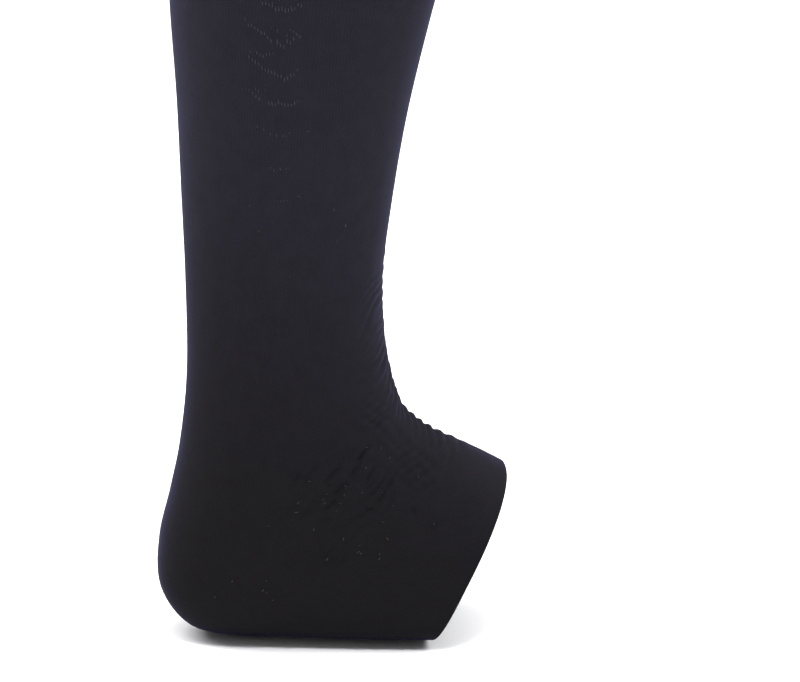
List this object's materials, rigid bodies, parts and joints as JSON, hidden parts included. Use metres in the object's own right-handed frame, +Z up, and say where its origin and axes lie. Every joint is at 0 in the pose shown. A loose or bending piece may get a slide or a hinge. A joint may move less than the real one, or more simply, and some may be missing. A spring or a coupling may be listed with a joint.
{
  "type": "compression stocking",
  "caption": "Knee-high footless compression stocking in its worn hollow form, with heel pouch, elastic top band and slanting hemmed foot opening.",
  "frame": {"origin": "centre of the top opening, below the knee, where the wearer's leg holds the stocking up", "axes": "+X toward the toes, +Z up the leg, Y across, with the XZ plane through the middle of the leg and foot"},
  "size_m": [0.1452, 0.1104, 0.4116],
  "materials": {
    "knit": "matte fine-gauge knit, near-black navy, with a faint violet sheen at its edges",
    "band": "matte doubled elastic knit, near-black navy",
    "hem": "matte turned knitted hem, near-black navy"
  },
  "bodies": {
    "root": {"stocking": "knit", "top_band": "band", "foot_hem": "hem"}
  },
  "joints": []
}
